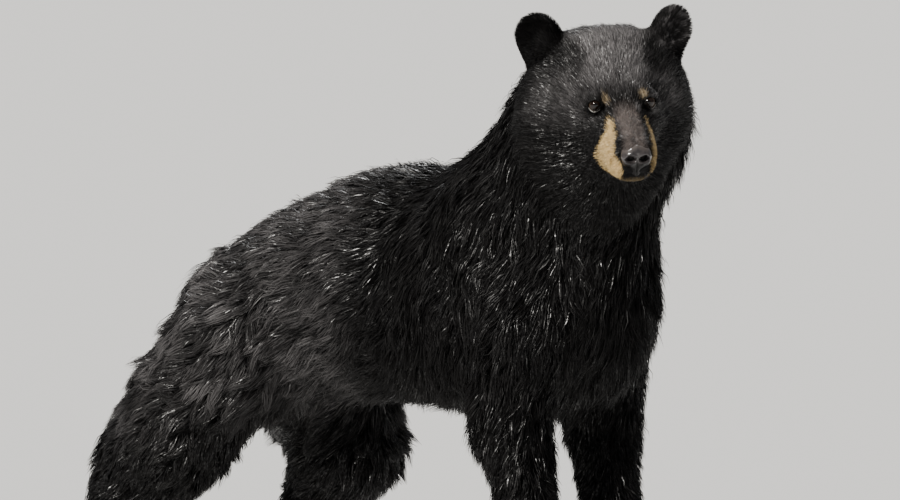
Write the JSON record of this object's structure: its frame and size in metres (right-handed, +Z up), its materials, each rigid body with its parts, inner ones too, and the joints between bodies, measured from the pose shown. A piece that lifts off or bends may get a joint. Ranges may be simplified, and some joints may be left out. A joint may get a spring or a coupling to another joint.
{
  "type": "american black bear, life-size still model",
  "caption": "Life-size still model of a standing black bear with its head turned to its right and both pairs of legs in mid stride, for display on a floor.",
  "frame": {"origin": "on the floor, under the middle of the animal's bounding box", "axes": "+X from tail to breast, +Y to the bear's left, +Z up"},
  "size_m": [1.2316, 0.4462, 1.0451],
  "materials": {
    "black_coat": "near-black guard hair with a cool sheen",
    "tan_coat": "short tan and brown hair",
    "nose_leather": "moist black skin",
    "eye": "clear and wet over dark brown",
    "claw_horn": "dark polished horn"
  },
  "bodies": {
    "root": {"trunk": "black_coat", "neck": "black_coat", "tail": "black_coat", "head": "black_coat", "lower_jaw": "tan_coat", "nose": "nose_leather", "eye_right": "eye", "eye_left": "eye", "ear_right": "black_coat", "ear_left": "black_coat", "upper_arm_right": "black_coat", "forearm_right": "black_coat", "forepaw_right": "black_coat", "forepaw_right_claw_1": "claw_horn", "forepaw_right_claw_2": "claw_horn", "forepaw_right_claw_3": "claw_horn", "forepaw_right_claw_4": "claw_horn", "forepaw_right_claw_5": "claw_horn", "upper_arm_left": "black_coat", "forearm_left": "black_coat", "forepaw_left": "black_coat", "forepaw_left_claw_1": "claw_horn", "forepaw_left_claw_2": "claw_horn", "forepaw_left_claw_3": "claw_horn", "forepaw_left_claw_4": "claw_horn", "forepaw_left_claw_5": "claw_horn", "thigh_right": "black_coat", "shank_right": "black_coat", "hind_foot_right": "black_coat", "hind_foot_right_claw_1": "claw_horn", "hind_foot_right_claw_2": "claw_horn", "hind_foot_right_claw_3": "claw_horn", "hind_foot_right_claw_4": "claw_horn", "hind_foot_right_claw_5": "claw_horn", "thigh_left": "black_coat", "shank_left": "black_coat", "hind_foot_left": "black_coat", "hind_foot_left_claw_1": "claw_horn", "hind_foot_left_claw_2": "claw_horn", "hind_foot_left_claw_3": "claw_horn", "hind_foot_left_claw_4": "claw_horn", "hind_foot_left_claw_5": "claw_horn"}
  },
  "joints": []
}
